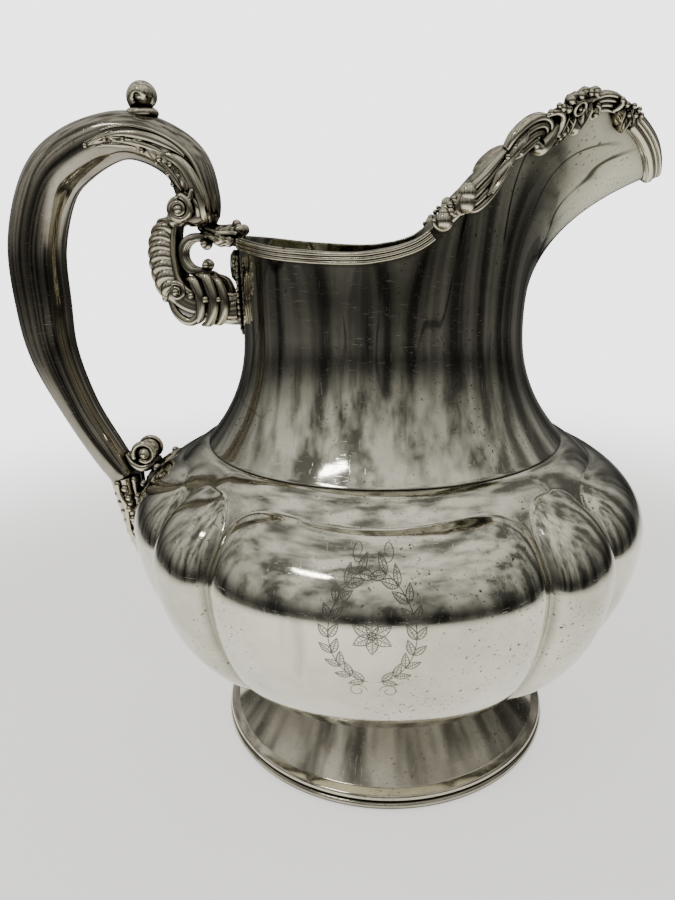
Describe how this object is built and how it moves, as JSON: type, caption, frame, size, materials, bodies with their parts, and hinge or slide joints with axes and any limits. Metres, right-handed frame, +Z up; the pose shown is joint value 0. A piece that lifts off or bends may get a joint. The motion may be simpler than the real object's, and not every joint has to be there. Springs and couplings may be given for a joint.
{
  "type": "water pitcher",
  "caption": "Silver water pitcher with a lobed belly on a spread foot, a flared neck, a scrolled rim and spout, and a hollow scroll handle.",
  "frame": {"origin": "centre of the foot, on the plane it stands on", "axes": "+Z up, +X towards the spout, -X towards the handle, +Y to the left of a person who pours"},
  "size_m": [0.2166, 0.177, 0.2239],
  "materials": {
    "sheet_silver": "polished sterling silver with light yellow-brown tarnish and fine scratches",
    "foot_silver": "polished silver with darker tarnish towards the foot's joint",
    "handle_silver": "polished silver, darker with tarnish",
    "cast_silver": "cast silver, bright on the raised parts and oxidised dark in the recesses"
  },
  "bodies": {
    "root": {"foot_rim_wire": "foot_silver", "foot_shell": "foot_silver", "foot_collar": "foot_silver", "belly_shell": "sheet_silver", "neck_shell": "sheet_silver", "rim_reeding_right": "cast_silver", "rim_reeding_left": "cast_silver", "rim_knot_right": "cast_silver", "rim_knot_left": "cast_silver", "side_scroll_right": "cast_silver", "side_scroll_left": "cast_silver", "shell_cluster_right": "cast_silver", "shell_cluster_left": "cast_silver", "lip_scroll_right": "cast_silver", "lip_scroll_left": "cast_silver", "lip_sprig_right": "cast_silver", "lip_sprig_left": "cast_silver", "lip_moulding": "cast_silver", "rim_leaf": "cast_silver", "handle_half_right": "handle_silver", "handle_half_left": "handle_silver", "thumb_scroll": "cast_silver", "volute_right": "cast_silver", "volute_left": "cast_silver", "acanthus_right": "cast_silver", "acanthus_left": "cast_silver", "upper_bracket": "cast_silver", "bracket_scroll": "cast_silver", "neck_mount_plate": "cast_silver", "handle_tail": "cast_silver", "lower_scroll": "cast_silver", "lower_mount_leaf": "cast_silver"}
  },
  "joints": []
}
